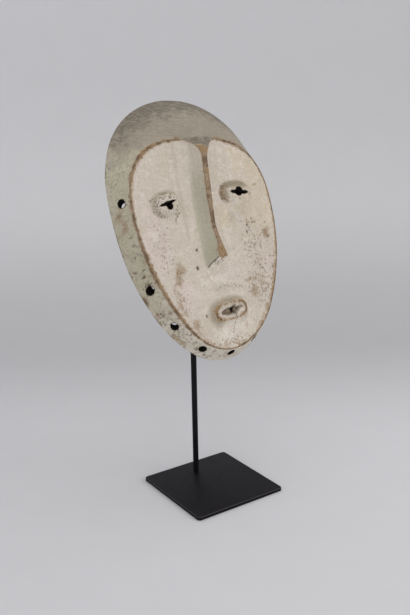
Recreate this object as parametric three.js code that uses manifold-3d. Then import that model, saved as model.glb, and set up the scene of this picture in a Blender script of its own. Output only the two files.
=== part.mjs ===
// A carved oval face mask on its small metal stand.
// Millimetres, +Z up. The origin is the centre of the underside of the stand's plate.
// The mask looks towards -Y, leaning back, and +X is on the viewer's right.

import * as THREE from 'three';
import { mergeVertices } from 'three/addons/utils/BufferGeometryUtils.js';
import Module from 'manifold-3d';

const wasm = await Module();
wasm.setup();

// Stand

const plateSide = 105;
const plateThickness = 4;
const plateCornerRadius = 3.5;
const plateEdgeBevel = 0.6;
const rodDiameter = 6;
const rodSetBack = 31;
const rodTop = 362;
const rodSides = 24;
const armDiameter = 5;
const armSides = 16;
const padDiameter = 10;
const padThickness = 3;
const padAboveChin = 12;
const padLean = 5.9;
const padGap = 0.2;
const clearance = 0.3;

// Where the mask stands: the lowest point of its face edge, and how it is turned

const chinPoint = { x: -0.4, y: -46.0, z: 166.4 };
const leanBack = 20.7;
const turnToRight = 4.8;
const tipToRight = 2.1;

// The mask's own directions are across (to the viewer's right), up along the face, and
// forward out of the face, all measured from the chin point.
// Both outlines are egg shapes around one centre: radius = sum of h[k] * cos(k * angle),
// with the angle measured from straight up.

const centreHeight = 118;
const faceOutline = [93.8, -6.2, 9.3, -8.0, -1.0, -2.1];
const rimOutline = [112.5, 7.1, 18.5, -2.1, 0.5, -1.1];

// Depths, all forward of the flat face edge

const rimDepthAtChin = -17.6;
const rimDepthSlope = -0.026;
const chinCurl = 4.2;
const chinCurlReach = 20;
const rimCurl = 3.2;
const rimCurlReach = 18;
const rimLowest = -9;
const browHeight = 203;
const browSwell = 14;
const browSwellWidth = 22.5;
const browSwellReach = 31;
const browSwellFade = 1.35;
const browStep = 1.2;
const browStepStart = 0.55;
const faceHollow = 2.3;
const faceHollowShape = 3;
const foreheadBulge = 6;
const foreheadBulgeStart = 0.74;
const sideBulge = 0.2;
const rimWidth = 8;
const innerEdgeInset = 3.6;
const wall = 8.5;

// Nose, measured up the face

const noseFoot = 79;
const noseTip = 88;
const noseWaist = 122;
const noseRoot = 192;
const noseTop = 206;
const waistDepth = 5.7;
const tipRise = 4.7;
const rootRise = 9.3;
const rootRiseShape = 1.25;
const ridgeHalfWidth = 2.3;
const ridgeUpperGain = 0.7;
const ridgeUpperReach = 30;
const tipFlare = 2.7;
const tipFlareFrom = 105;
const tipFlareShape = 1.5;
const rootFlare = 14;
const rootFlareFrom = 178;
const rootFlareTo = 202;
const rootFlareShape = 3;
const rootFlareLimit = 1.2;
const noseFootHalfWidth = { left: 14, right: 12 };
const flankCurve = 1.6;
const flankLeast = 2;
const flankSink = 0.6;
const toeInset = 1;
const toeRise = 0.3;
const rooting = 3.5;
const rootingOutset = 1;

// Eyes and mouth: centre, then half sizes of the foot and of the flat top of each mound.
// The side of a mound runs down through these steps, from its top (spread 1) to its foot.

const moundMiddle = 0.55;
const moundSteps = [
  { spread: 1, rise: 0.97 },
  { spread: 0.75, rise: 0.72 },
  { spread: 0.4, rise: 0.3 },
  { spread: 0.1, rise: 0.06 },
  { spread: 0, rise: -0.3 },
];

const leftEye = {
  across: -45.5, up: 144.5, tilt: 12, height: 3.2,
  foot: [17.5, 13], top: [12.5, 8.5], roundness: 2.2,
};
const rightEye = {
  across: 41.5, up: 149.5, tilt: -2, height: 4.4,
  foot: [21, 13], top: [14, 5.5], roundness: 2.2,
};
const mouth = {
  across: 0.6, up: 36, tilt: 5, height: 5.6,
  foot: [25.5, 15.6], top: [18.9, 7.9], roundness: 2.5,
};
const mouthSlot = { across: 1.5, up: 35.6, tilt: 7, half: [12.5, 3.2], floor: -3, roundness: 2 };
const slotTaper = 0.8;
const leftSlit = { across: -45.6, up: 144.6, tilt: 14, half: [9, 1.15], roundness: 1.6 };
const rightSlit = { across: 42.6, up: 149.3, tilt: -5, half: [9.9, 1.15], roundness: 2.6 };
const leftPupil = { across: -43.3, up: 142, diameter: 6 };
const rightPupil = { across: 42.3, up: 150.1, diameter: 7.4 };

// The cuts of the eyes slant: how far they move across and up for each millimetre forward

const eyeSlant = { across: 0.142, up: 0.319 };
const cutFront = 20;
const cutBack = -30;

// Holes bored through the side band, by their angle from the top and their share of the way
// back, with the degrees by which each bore leans to the front and along the band.
// A bore reaches this far out of the middle of the band and this far in.

const rimHoleDiameter = 7.4;
const boreOut = 7;
const boreIn = 14;
const chinHole = { angle: 180, lift: 0.38, front: 0, along: 0 };
const rimHolePairs = [
  { angle: 164, lift: 0.44, front: 8, along: 0 },
  { angle: 145.5, lift: 0.5, front: 6, along: 0 },
  { angle: 123, lift: 0.5, front: 34, along: 0 },
  { angle: 70, lift: 0.42, front: 0, along: 7 },
];

// How finely the surfaces are drawn

const spokes = 96;
const faceRings = [0.18, 0.34, 0.49, 0.62, 0.74, 0.84, 0.92, 0.985];
const bandRings = [0.05, 0.28, 0.52, 0.76, 1];
const innerBandRings = [1, 0.5, 0];
const innerFaceRings = [0.78, 0.52, 0.26];
const flankSteps = 5;
const toeSteps = [0, 3, 6];
const ridgeStep = 7;
const rootStep = 4;
const moundSides = 30;
const boreSides = 20;
const plateCornerSegments = 6;
const plateBevelSegments = 2;
const weldDistance = 1e-4;

const radians = THREE.MathUtils.degToRad;
const mix = THREE.MathUtils.lerp;

function at(across, up, forward) {
  return new THREE.Vector3(across, -forward, up);
}

function eggRadius(outline, angle) {
  return outline.reduce((sum, size, k) => sum + size * Math.cos(k * angle), 0);
}

function bell(distance, reach) {
  return Math.exp(-((distance / reach) ** 2));
}

// The middle of the brow swells forward and sinks into the face below it

function swell(across, up) {
  const below = Math.max(0, browHeight - up);
  const fade = Math.exp(-((below / browSwellReach) ** browSwellFade));
  return browSwell * bell(across, browSwellWidth) * fade;
}

function faceEdge(angle) {
  const radius = eggRadius(faceOutline, angle);
  const across = radius * Math.sin(angle);
  const up = centreHeight + radius * Math.cos(angle);
  const step = browStep * THREE.MathUtils.smoothstep(Math.cos(angle), browStepStart, 1);
  return at(across, up, swell(across, up) - chinCurl * bell(up, chinCurlReach) + step);
}

function rimEdge(angle, inset = 0) {
  const radius = eggRadius(rimOutline, angle) - inset;
  const across = radius * Math.sin(angle);
  const up = centreHeight + radius * Math.cos(angle);
  const curl = rimCurl * bell(up - rimLowest, rimCurlReach);
  return at(across, up, rimDepthAtChin + rimDepthSlope * up - curl);
}

function faceDepth(across, up) {
  const angle = Math.atan2(across, up - centreHeight);
  const share = Math.min(1, Math.hypot(across, up - centreHeight) / eggRadius(faceOutline, angle));
  const curl = chinCurl * bell(up, chinCurlReach);
  return swell(across, up) - curl - faceHollow * (1 - share ** faceHollowShape);
}

function facePoint(angle, share, back = 0) {
  const radius = eggRadius(faceOutline, angle) * share;
  const across = radius * Math.sin(angle);
  const up = centreHeight + radius * Math.cos(angle);
  return at(across, up, faceDepth(across, up) - back);
}

// The band runs from the face edge back to the rim, and swells into the forehead at the top

function bandBulge(angle) {
  const topness = (Math.cos(angle) - foreheadBulgeStart) / (1 - foreheadBulgeStart);
  return sideBulge + foreheadBulge * Math.max(0, topness);
}

function bandPoint(start, end, angle, share, bulge) {
  const chord = end.clone().sub(start);
  const outward = new THREE.Vector3(Math.sin(angle), 0, Math.cos(angle));
  const run = chord.dot(outward);
  const drop = chord.y;
  const normal = outward.multiplyScalar(drop).setY(-run).normalize();
  const point = start.clone().addScaledVector(chord, share);
  return point.addScaledVector(normal, bulge * 4 * share * (1 - share));
}

function innerCorner(angle) {
  const radius = eggRadius(faceOutline, angle) - innerEdgeInset;
  const across = radius * Math.sin(angle);
  const up = centreHeight + radius * Math.cos(angle);
  return at(across, up, faceDepth(across, up) - wall);
}

// A closed skin over rings of points, with a single point at each end

function skin(startPole, rings, endPole) {
  const count = rings[0].length;
  const points = [startPole, ...rings.flat(), endPole];
  const last = points.length - 1;
  const index = [];
  for (let side = 0; side < count; side += 1) {
    const next = (side + 1) % count;
    index.push(0, 1 + next, 1 + side);
    for (let ring = 0; ring < rings.length - 1; ring += 1) {
      const a = 1 + ring * count + side;
      const b = 1 + ring * count + next;
      index.push(a, b, a + count);
      index.push(b, b + count, a + count);
    }
    const start = last - count;
    index.push(start + side, start + next, last);
  }
  const geometry = new THREE.BufferGeometry().setFromPoints(points);
  geometry.setIndex(index);
  return geometry;
}

function around(count, place) {
  return Array.from({ length: count }, (_, side) => place((side / count) * 2 * Math.PI));
}

function shellSkin() {
  const rings = faceRings.map((share) => around(spokes, (angle) => facePoint(angle, share)));
  rings.push(around(spokes, faceEdge));
  for (const share of bandRings) {
    rings.push(around(spokes, (angle) =>
      bandPoint(faceEdge(angle), rimEdge(angle), angle, share, bandBulge(angle))));
  }
  for (const share of innerBandRings) {
    rings.push(around(spokes, (angle) =>
      bandPoint(innerCorner(angle), rimEdge(angle, rimWidth), angle, share, bandBulge(angle))));
  }
  for (const share of innerFaceRings) {
    rings.push(around(spokes, (angle) => facePoint(angle, share, wall)));
  }
  return skin(facePoint(0, 0), rings, facePoint(0, 0, wall));
}

// The nose is a narrow ridge with flat crest and hollow-curved flanks, drawn in sections up
// the face. Its crest opens out at the root into the brow and at the tip into a flat end.

function ridgeDepth(up) {
  if (up < noseWaist) {
    const share = Math.min(1, (noseWaist - up) / (noseWaist - noseTip));
    return waistDepth + tipRise * Math.sin((share * Math.PI) / 2) ** 2;
  }
  const share = Math.min(1, (up - noseWaist) / (noseRoot - noseWaist));
  return waistDepth + rootRise * share ** rootRiseShape;
}

function ridgeHalf(up) {
  const above = THREE.MathUtils.smoothstep(up, noseWaist, noseWaist + ridgeUpperReach);
  const below = Math.max(0, (tipFlareFrom - up) / (tipFlareFrom - noseTip)) ** tipFlareShape;
  const root = Math.max(0, (up - rootFlareFrom) / (rootFlareTo - rootFlareFrom)) ** rootFlareShape;
  const flare = tipFlare * below + rootFlare * Math.min(rootFlareLimit, root);
  return ridgeHalfWidth + ridgeUpperGain * above + flare;
}

function crestDepth(across, up) {
  return ridgeDepth(up) - browSwell * (1 - bell(across, browSwellWidth));
}

function noseSection(up) {
  const rise = THREE.MathUtils.clamp((up - noseFoot) / (noseTip - noseFoot), 0, 1);
  const side = (foot) => {
    const half = mix(foot - toeInset, ridgeHalf(up), rise);
    const reach = Math.max(foot, half + flankLeast);
    const points = [];
    for (let step = 0; step <= flankSteps; step += 1) {
      const share = step / flankSteps;
      const across = mix(half, reach, share);
      const crest = mix(faceDepth(across, up) + toeRise, crestDepth(half, up), rise);
      const foothold = faceDepth(across, up) - flankSink;
      points.push([across, mix(foothold, crest, (1 - share) ** flankCurve)]);
    }
    points.push([reach + rootingOutset, faceDepth(reach, up) - rooting]);
    return points;
  };
  const right = side(noseFootHalfWidth.right).map(([across, depth]) => at(across, up, depth));
  const left = side(noseFootHalfWidth.left).map(([across, depth]) => at(-across, up, depth));
  const middle = at(0, up, mix(faceDepth(0, up) + toeRise, crestDepth(0, up), rise));
  return [...left.reverse(), middle, ...right];
}

function noseSkin() {
  const levels = toeSteps.map((step) => noseFoot + step);
  for (let up = noseTip; up < rootFlareFrom; up += ridgeStep) levels.push(up);
  for (let up = rootFlareFrom; up <= noseTop; up += rootStep) levels.push(up);
  const rings = levels.map(noseSection);
  const middleOf = (ring) => ring.reduce((sum, p) => sum.add(p), new THREE.Vector3())
    .divideScalar(ring.length);
  return skin(middleOf(rings[0]), rings, middleOf(rings.at(-1)));
}

// Ovals with their own tilt, for the mounds of the eyes and mouth and for what is cut in them

function ovalPoint(oval, half, angle) {
  const power = 2 / oval.roundness;
  const c = Math.cos(angle);
  const s = Math.sin(angle);
  const x = half[0] * Math.sign(s) * Math.abs(s) ** power;
  const y = half[1] * Math.sign(c) * Math.abs(c) ** power;
  const tilt = radians(oval.tilt);
  return {
    across: oval.across + x * Math.cos(tilt) - y * Math.sin(tilt),
    up: oval.up + x * Math.sin(tilt) + y * Math.cos(tilt),
  };
}

function ovalRing(oval, half, sides, depthAt) {
  return around(sides, (angle) => {
    const { across, up } = ovalPoint(oval, half, angle);
    return at(across, up, depthAt(across, up));
  });
}

function moundSkin(oval) {
  const between = (share) => oval.foot.map((size, k) => mix(size, oval.top[k], share));
  const raised = (rise) => (across, up) => faceDepth(across, up) + oval.height * rise;
  const topMiddle = at(oval.across, oval.up, raised(1)(oval.across, oval.up));
  const rooted = (across, up) => faceDepth(across, up) - rooting;
  const rings = [
    ovalRing(oval, oval.top.map((size) => size * moundMiddle), moundSides, raised(1)),
    ...moundSteps.map(({ spread, rise }) => ovalRing(oval, between(spread), moundSides, raised(rise))),
    ovalRing(oval, between(0), moundSides, rooted),
  ];
  return skin(topMiddle, rings, at(oval.across, oval.up, rooted(oval.across, oval.up)));
}

function throughCutter(oval, half) {
  const slid = (depth) => ({
    ...oval, across: oval.across + eyeSlant.across * depth, up: oval.up + eyeSlant.up * depth,
  });
  const [front, back] = [slid(cutFront), slid(cutBack)];
  const rings = [
    ovalRing(front, half, boreSides, () => cutFront),
    ovalRing(back, half, boreSides, () => cutBack),
  ];
  return skin(at(front.across, front.up, cutFront), rings, at(back.across, back.up, cutBack));
}

function slotCutter(oval) {
  const narrowed = oval.half.map((size) => size * slotTaper);
  const rings = [
    ovalRing(oval, oval.half, moundSides, () => cutFront),
    ovalRing(oval, oval.half, moundSides, () => 0),
    ovalRing(oval, narrowed, moundSides, () => oval.floor),
  ];
  return skin(at(oval.across, oval.up, cutFront), rings, at(oval.across, oval.up, oval.floor));
}

// A bore square to the band but for its lean. The side is 1 to the right of the middle, -1 to its left.

function bandBore(hole, side, diameter) {
  const angle = side * radians(hole.angle);
  const start = faceEdge(angle);
  const end = rimEdge(angle);
  const middle = bandPoint(start, end, angle, hole.lift, bandBulge(angle));
  const chord = end.clone().sub(start).normalize();
  const sideways = new THREE.Vector3(Math.cos(angle), 0, -Math.sin(angle));
  const inward = chord.clone().cross(sideways).normalize();
  const outward = new THREE.Vector3(Math.sin(angle), 0, Math.cos(angle));
  if (inward.dot(outward) > 0) inward.negate();
  const alongBand = inward.clone().cross(chord);
  const way = inward.clone()
    .addScaledVector(chord, -Math.tan(radians(hole.front)))
    .addScaledVector(alongBand, side * Math.tan(radians(hole.along)))
    .normalize();
  const bore = new THREE.CylinderGeometry(diameter / 2, diameter / 2, boreIn + boreOut, boreSides);
  bore.translate(0, (boreIn - boreOut) / 2, 0);
  const axis = new THREE.Vector3(0, 1, 0);
  bore.applyQuaternion(new THREE.Quaternion().setFromUnitVectors(axis, way));
  bore.translate(middle.x, middle.y, middle.z);
  return bore;
}

// Solids

function solid(geometry) {
  const bare = geometry.clone();
  bare.deleteAttribute('normal');
  bare.deleteAttribute('uv');
  const merged = mergeVertices(bare, weldDistance);
  const vertProperties = new Float32Array(merged.attributes.position.array);
  const triVerts = new Uint32Array(merged.index.array);
  return new wasm.Manifold(new wasm.Mesh({ numProp: 3, vertProperties, triVerts }));
}

function shapeOf(body) {
  const mesh = body.getMesh();
  const geometry = new THREE.BufferGeometry();
  geometry.setAttribute('position', new THREE.BufferAttribute(mesh.vertProperties, 3));
  geometry.setIndex(new THREE.BufferAttribute(mesh.triVerts, 1));
  geometry.computeVertexNormals();
  return geometry;
}

function maskSolid() {
  const added = [noseSkin(), moundSkin(leftEye), moundSkin(rightEye), moundSkin(mouth)];
  const cuts = [
    slotCutter(mouthSlot),
    throughCutter(leftSlit, leftSlit.half),
    throughCutter(rightSlit, rightSlit.half),
  ];
  for (const pupil of [leftPupil, rightPupil]) {
    const round = { ...pupil, tilt: 0, roundness: 2 };
    cuts.push(throughCutter(round, [pupil.diameter / 2, pupil.diameter / 2]));
  }
  cuts.push(bandBore(chinHole, 1, rimHoleDiameter));
  for (const hole of rimHolePairs) {
    cuts.push(bandBore(hole, 1, rimHoleDiameter), bandBore(hole, -1, rimHoleDiameter));
  }
  let body = solid(shellSkin());
  for (const piece of added) body = body.add(solid(piece));
  for (const cut of cuts) body = body.subtract(solid(cut));
  return body;
}

// The stand: a square plate, and a straight rod whose short arm ends in a pad behind the chin

function plateShape() {
  const half = plateSide / 2 - plateEdgeBevel;
  const radius = plateCornerRadius - plateEdgeBevel;
  const inner = half - radius;
  const outline = new THREE.Shape();
  outline.absarc(inner, inner, radius, 0, Math.PI / 2);
  outline.absarc(-inner, inner, radius, Math.PI / 2, Math.PI);
  outline.absarc(-inner, -inner, radius, Math.PI, 1.5 * Math.PI);
  outline.absarc(inner, -inner, radius, 1.5 * Math.PI, 2 * Math.PI);
  const plate = new THREE.ExtrudeGeometry(outline, {
    depth: plateThickness - 2 * plateEdgeBevel,
    bevelThickness: plateEdgeBevel,
    bevelSize: plateEdgeBevel,
    bevelSegments: plateBevelSegments,
    curveSegments: plateCornerSegments,
  });
  return plate.translate(0, 0, plateEdgeBevel);
}

function roundBar(start, end, diameter, sides) {
  const along = end.clone().sub(start);
  const bar = new THREE.CylinderGeometry(diameter / 2, diameter / 2, along.length(), sides);
  const axis = new THREE.Vector3(0, 1, 0);
  bar.applyQuaternion(new THREE.Quaternion().setFromUnitVectors(axis, along.normalize()));
  const middle = start.clone().add(end).multiplyScalar(0.5);
  return bar.translate(middle.x, middle.y, middle.z);
}

function maskPose() {
  const lean = new THREE.Euler(-radians(leanBack), radians(tipToRight), radians(turnToRight), 'ZXY');
  const place = new THREE.Vector3(chinPoint.x, chinPoint.y, chinPoint.z);
  const turn = new THREE.Quaternion().setFromEuler(lean);
  return new THREE.Matrix4().compose(place, turn, new THREE.Vector3(1, 1, 1));
}

function rodSolid() {
  const foot = new THREE.Vector3(0, rodSetBack, plateThickness + clearance);
  const top = new THREE.Vector3(0, rodSetBack, rodTop);
  const pose = maskPose();
  const padFront = faceDepth(0, padAboveChin) - wall - padGap;
  const lean = radians(padLean);
  const front = at(0, padAboveChin, padFront);
  const back = front.clone().add(at(0, padThickness * Math.sin(lean), -padThickness * Math.cos(lean)));
  front.applyMatrix4(pose);
  back.applyMatrix4(pose);
  const shoulder = new THREE.Vector3(0, rodSetBack, back.z);
  const pad = roundBar(front, back, padDiameter, armSides);
  const middle = front.clone().add(back).multiplyScalar(0.5);
  const arm = roundBar(middle, shoulder, armDiameter, armSides);
  return solid(roundBar(foot, top, rodDiameter, rodSides)).add(solid(arm)).add(solid(pad));
}

const coatedWood = new THREE.MeshStandardMaterial({ color: 0xcdbfad, roughness: 0.9, metalness: 0 });
const blackRod = new THREE.MeshStandardMaterial({ color: 0x242224, roughness: 0.5, metalness: 0.3 });
const blackPlate = new THREE.MeshStandardMaterial({ color: 0x2d2a2d, roughness: 0.6, metalness: 0.3 });

const mask = new THREE.Mesh(shapeOf(maskSolid()), coatedWood);
mask.name = 'mask';
mask.applyMatrix4(maskPose());

const rod = new THREE.Mesh(shapeOf(rodSolid()), blackRod);
rod.name = 'stand_rod';

const plate = new THREE.Mesh(plateShape(), blackPlate);
plate.name = 'stand_plate';

const group = new THREE.Group();
group.add(mask, rod, plate);

export default group;
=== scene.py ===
"""Looks of a carved oval face mask on its black metal stand.

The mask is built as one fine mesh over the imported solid: carved face, pierced eyes, bored rim,
with dry clay rubbed over the wood and the wood showing where edges are worn.
Sizes are in millimetres in the settings and in metres in the meshes.
"""

import math
import random

import bmesh
import bpy
import numpy as np
from mathutils import Matrix, Vector, noise


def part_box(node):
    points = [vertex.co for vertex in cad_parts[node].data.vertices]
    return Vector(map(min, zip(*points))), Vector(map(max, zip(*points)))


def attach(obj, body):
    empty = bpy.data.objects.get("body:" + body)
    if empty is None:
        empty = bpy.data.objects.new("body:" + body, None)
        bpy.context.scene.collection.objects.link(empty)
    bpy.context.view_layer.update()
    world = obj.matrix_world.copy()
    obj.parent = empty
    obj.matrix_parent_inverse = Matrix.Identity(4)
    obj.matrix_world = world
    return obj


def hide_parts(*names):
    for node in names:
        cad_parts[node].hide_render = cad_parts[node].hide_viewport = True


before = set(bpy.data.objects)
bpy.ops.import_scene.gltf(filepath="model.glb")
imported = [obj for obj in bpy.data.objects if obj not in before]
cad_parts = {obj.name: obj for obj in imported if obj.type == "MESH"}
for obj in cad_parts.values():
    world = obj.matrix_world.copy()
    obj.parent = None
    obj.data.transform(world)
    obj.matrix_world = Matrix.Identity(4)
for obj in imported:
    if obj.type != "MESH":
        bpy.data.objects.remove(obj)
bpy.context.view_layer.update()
MM = 0.001

bl_info = {
    "name": "Carved Mask on Stand",
    "version": (1, 0, 0),
    "blender": (4, 5, 0),
    "location": "3D View > Sidebar > Mask",
    "description": "Builds the fine mesh and finishes of a carved face mask and its stand",
    "category": "Object",
}


# Sizes of the carving, in millimetres

# How the mask stands: the lowest point of its face edge, and its turn
CHIN_POINT = (-0.4, -46.0, 166.4)
LEAN_BACK = 20.7
TURN_TO_RIGHT = 4.8
TIP_TO_RIGHT = 2.1

# Egg outlines around one centre: radius = sum of h[k] * cos(k * angle), angle from straight up
CENTRE_HEIGHT = 118.0
FACE_OUTLINE = (93.8, -6.2, 9.3, -8.0, -1.0, -2.1)
RIM_OUTLINE = (112.5, 7.1, 18.5, -2.1, 0.5, -1.1)
WALL = 8.5
RIM_WIDTH = 8.0
INNER_EDGE_INSET = 3.6
# Shares of the way at which the hollow's lip ends, its corner starts and its floor starts
LIP_SHARE, CORNER_SHARE, FLOOR_SHARE = 0.86, 0.3, 0.88

# The swell below the brow, the dip at the chin, the hollow of the face and the step up to the brow
BROW_UP, BROW_SWELL, BROW_HALF_WIDTH, BROW_FADE = 203.0, 14.0, 22.5, 31.0
CHIN_DIP, CHIN_DIP_REACH, FACE_HOLLOW, BROW_STEP = 4.2, 20.0, 2.3, 1.2
# The rim's edge leans back as it goes up, and further back at the chin
RIM_BACK, RIM_SLOPE, RIM_CHIN_DROP, RIM_CHIN_REACH = 17.6, 0.026, 3.2, 18.0
# How far the side band bulges, and where the forehead's bulge starts, as a cosine from the top
BAND_BULGE, FOREHEAD_BULGE, FOREHEAD_START, FOREHEAD_RUN = 0.2, 6.0, 0.74, 0.26

# Nose heights, measured up the face
NOSE_FOOT = 79.0
NOSE_TIP = 88.0
NOSE_WAIST = 122.0
NOSE_ROOT = 192.0
NOSE_TOP = 206.0
# Half width of the nose's crest, and what the waist, the tip and the root add to it
CREST_HALF, CREST_WAIST_GAIN, CREST_TIP_GAIN, CREST_ROOT_GAIN = 2.3, 0.7, 2.7, 14.0
TIP_FLARE_UP, ROOT_FLARE_UP, ROOT_FLARE_RUN = 105.0, 178.0, 24.0
# Half width of the flat end under the tip, and how far the flanks reach, left and right
END_HALF, FLANK_REACH = (13.0, 11.0), (14.0, 12.0)
# Depth of the crest at the waist, and its rise to the tip and to the root
WAIST_DEPTH, TIP_RISE, ROOT_RISE = 5.7, 4.7, 9.3

# Raised ovals: centre, tilt, height, half sizes of foot and top, roundness
LEFT_EYE = dict(across=-45.5, up=144.5, tilt=12, height=3.2, foot=(17.5, 13), top=(12.5, 8.5), roundness=2.2)
RIGHT_EYE = dict(across=41.5, up=149.5, tilt=-2, height=4.4, foot=(21, 13), top=(14, 4.5), roundness=2.2,
                 lean=(-0.4, 0.9, 0.4))
MOUTH = dict(across=0.6, up=36, tilt=5, height=5.6, foot=(25.5, 15.6), top=(18.9, 7.9), roundness=2.5)
MOUTH_SLOT = dict(across=0.8, up=35.6, tilt=5, half=(11.6, 3.3), floor=-2.6, roundness=1.9)
SLITS = (
    dict(across=-45.6, up=144.6, tilt=14, half=(9.0, 1.15), roundness=1.6),
    dict(across=42.6, up=149.3, tilt=-5, half=(9.9, 1.15), roundness=2.6),
)
PUPILS = (
    dict(across=-43.3, up=142.0, tilt=0, half=(3.0, 3.0), roundness=2),
    dict(across=42.3, up=150.1, tilt=0, half=(3.7, 3.7), roundness=2),
)

# The dip of the lips round the slot, and the softened edge of each cut: half sizes or width, and depth
LIPS_HALF, LIPS_DIP = (16.4, 6.4), 1.3
CUT_EDGE_WIDTH, CUT_EDGE_DIP = 0.9, 0.5

# How far the cuts of the eyes move across and up on their way back through the face, where they
# start and end, and the share of the way that lies in front of the pupil's place
EYE_SLANT = (-4.0, -9.0)
CUT_FRONT, CUT_BACK, CUT_LEAD = 20.0, -28.0, 0.7
# How far the bore of a rim hole runs out of the band and into it
BORE_OUT, BORE_IN = 6, 14
# Depth and reach of the softened rim of a hole, and of a fine crack
HOLE_SOFTENING, CRACK_CUT = (0.55, 0.8), (0.35, 0.6)

# Bored holes in the side band: angle from the top, share of the way back from the face edge,
# and how many degrees the bore leans to the front and along the band
RIM_HOLES = [(180, 0.38, 0, 0)] + [
    (side * angle, lift, front, side * along)
    for angle, lift, front, along in (
        (164, 0.44, 8, 0), (145.5, 0.5, 6, 0), (123, 0.5, 34, 0), (70, 0.42, 0, 7))
    for side in (-1, 1)
]

# Small pits in the face: across, up, radius, depth
FACE_PITS = (
    (-20.7, 98.3, 1.5, 0.9), (-24.1, 81.2, 1.9, 0.8), (-26.2, 35.0, 1.4, 0.9),
    (45.2, 109.6, 1.2, 0.6), (54.3, 119.0, 1.2, 0.5), (47.1, 116.6, 1.3, 0.6),
)
# Small pits in the band: angle, share of the way back, radius, depth
BAND_PITS = (
    (-149, 0.5, 1.5, 0.9), (-150, 0.66, 1.3, 0.8), (-154, 0.3, 1.5, 0.9), (-158, 0.45, 1.3, 0.8),
    (-128, 0.3, 1.1, 0.6), (-137, 0.6, 1.2, 0.6), (-166, 0.62, 1.2, 0.6), (-60, 0.55, 1.0, 0.5),
)
# Fine cracks in the face, as ends in across and up
FACE_CRACKS = (
    ((-31.0, 136.1), (-37.3, 129.9)), ((-37.3, 129.9), (-38.0, 125.5)), ((5.4, 33.0), (5.0, 24.5)),
    ((5.0, 24.5), (2.8, 14.0)), ((22.8, 31.3), (18.0, 27.1)), ((-54.5, 148.0), (-58.0, 142.5)),
    ((-50.0, 153.5), (-43.0, 155.5)),
)
# Cracks across the band: angle, and stretched share of the way back, at each end
BAND_CRACKS = (((-70.6, 0.58), (-72.4, 1.0)), ((-114, 0.8), (-115, 1.0)), ((-119.5, 0.82), (-120.5, 1.0)))
# How much a share of the way back counts against a degree, in the distance to a crack
CRACK_STRETCH = 2.2

# Marks on the face: strength, across, up, half width, half height, tilt in degrees
FACE_SPOTS = {
    "ochre": ((1, 1, 93, 7, 7),),
    # The dark spots darken the middle of the mouth slot: painted shade in the recess
    "dark": ((1, 5, 36.8, 3.2, 4.8), (0.62, 12, 38, 5, 1.7), (0.5, -4, 34.8, 7, 1.4, 10)),
    "pitted": (
        (0.8, -44, 143, 20, 15), (1, -52, 50, 9, 24, 15), (1, 52, 85, 17, 42), (1.15, 46, 52, 20, 26),
        (0.7, 8, 60, 20, 6), (0.8, -62, 105, 14, 34), (0.95, 4, 7, 36, 7), (0.45, 24, 30, 14, 14),
    ),
    "brown": (
        (0.9, 57.5, 147.6, 3, 1.8), (0.6, 67, 156.8, 6.5, 1.6), (1, -48, 76, 5, 13, -10),
        (0.8, -43, 80, 6, 6), (0.7, -54, 57, 6, 13, 5), (0.6, -49, 43, 5, 9, 15), (0.8, -40, 29, 6, 9, 38),
        (0.9, 68, 107, 6, 7), (0.95, 38, 50, 6, 7), (0.6, 50, 60, 6, 10), (0.95, 52, 32, 5, 13, -32),
        (0.35, -26, 17, 20, 5, -35),
        (0.55, 8, 5, 24, 4.5), (0.85, 38, 17, 9, 3.5, 55), (0.35, 50, 118, 7, 14), (0.5, 38, 62, 8, 6),
    ),
    "shade": ((0.75, 25, 149, 5, 8), (0.35, 30, 126, 6, 14), (0.3, 44, 132, 8, 10)),
    # Pale spots on the chin, by the mouth and above it, and under the nose; the last is painted light on a
    # face turned to the floor
    "low": ((1.45, 8, 14, 30, 14), (0.7, 20, 30, 20, 14), (1, 3, 83, 12, 4), (0.6, 0, 68, 16, 8)),
    "rosy": (
        (0.9, -66, 112, 22, 50), (1, -46, 55, 14, 30, 15), (0.45, 0, 16, 34, 12), (0.7, 14, 72, 20, 9),
        (0.7, 60, 70, 10, 30), (0.6, 30, 22, 16, 12),
    ),
    "warm": ((0.8, 20, 120, 14, 30),),
}
# Marks on the band: strength, angle, share of the way back, half sizes of both
BAND_SPOTS = {
    "dark": ((0.6, -126.5, 0.92, 2.8, 0.13),),
    "pitted": (
        (1, -146, 0.5, 24, 0.6), (0.8, -175, 0.5, 22, 0.6), (0.5, -95, 0.6, 30, 0.6),
        (0.8, 150, 0.5, 30, 0.6),
    ),
    "brown": (
        (1, -77, 0.62, 4.2, 0.2), (0.95, -83.5, 0.46, 4, 0.2), (0.95, -126, 0.92, 3.6, 0.14),
        (0.6, -150, 0.8, 8, 0.16), (0.5, -108, 0.15, 2.5, 0.12), (0.4, -135, 0.75, 5, 0.2),
    ),
}
# Scattered flaws: seed, count, two corners of their field, smallest and largest, strength
CHEEK_FLAWS = (8, 110, (36, 42), (74, 124), (0.5, 1.3), 0.55)
FACE_FLAWS = (
    (15, 60, (-75, 70), (-44, 135), (0.5, 1.0), 0.5), (19, 40, (-38, 4), (44, 24), (0.4, 0.8), 0.45),
    (23, 24, (28, 140), (56, 160), (0.5, 0.8), 0.7), (47, 15, (-12, 79.5), (5, 86.5), (0.5, 0.9), 0.75),
)
BAND_FLAWS = (
    (29, 55, (-178, 0.1), (-112, 0.98), (0.4, 1.0)), (31, 50, (-112, 0.1), (-20, 0.98), (0.4, 0.8)),
    (37, 16, (140, 0.1), (178, 0.95), (0.45, 0.85)),
)


def linear(hex_colour):
    """An sRGB hex colour such as "c8b9a2", as a linear colour with alpha."""
    parts = [int(hex_colour[k:k + 2], 16) / 255 for k in (0, 2, 4)]
    return tuple(p / 12.92 if p <= 0.04045 else ((p + 0.055) / 1.055) ** 2.4 for p in parts) + (1.0,)


# Shapes of the carving, worked on arrays of across, up and forward in millimetres

def bell(distance, reach):
    return np.exp(-((distance / reach) ** 2))


def ramp(value, low, high):
    share = np.clip((value - low) / (high - low), 0, 1)
    return share * share * (3 - 2 * share)


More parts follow.
